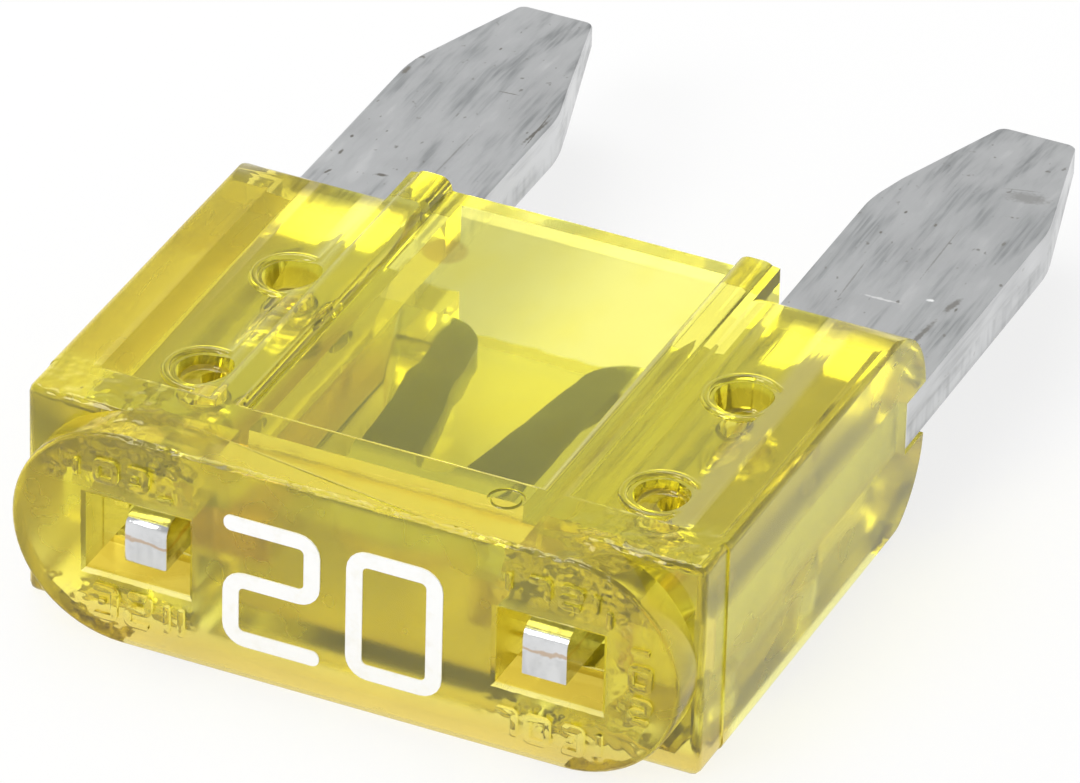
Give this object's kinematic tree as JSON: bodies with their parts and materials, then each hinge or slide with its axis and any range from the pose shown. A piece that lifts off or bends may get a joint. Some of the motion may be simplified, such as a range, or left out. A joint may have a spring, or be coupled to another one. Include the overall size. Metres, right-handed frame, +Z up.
{
  "type": "blade fuse",
  "caption": "Small automotive blade fuse: a clear yellow housing staked onto a stamped zinc strip with a thin link between its flat blades.",
  "frame": {"origin": "centre of the footprint, on the surface that the fuse lies on", "axes": "+Y from the label face to the blade tips, +Z up through the thickness, +X across the width"},
  "size_m": [0.011, 0.0164, 0.0036],
  "materials": {
    "clear_yellow_plastic": "gloss, clear and tinted through",
    "zinc": "satin, stamped, with fine lengthwise scratches",
    "white_ink": "matt printed ink"
  },
  "bodies": {
    "root": {"housing": "clear_yellow_plastic", "fuse_element": "zinc"}
  },
  "joints": []
}
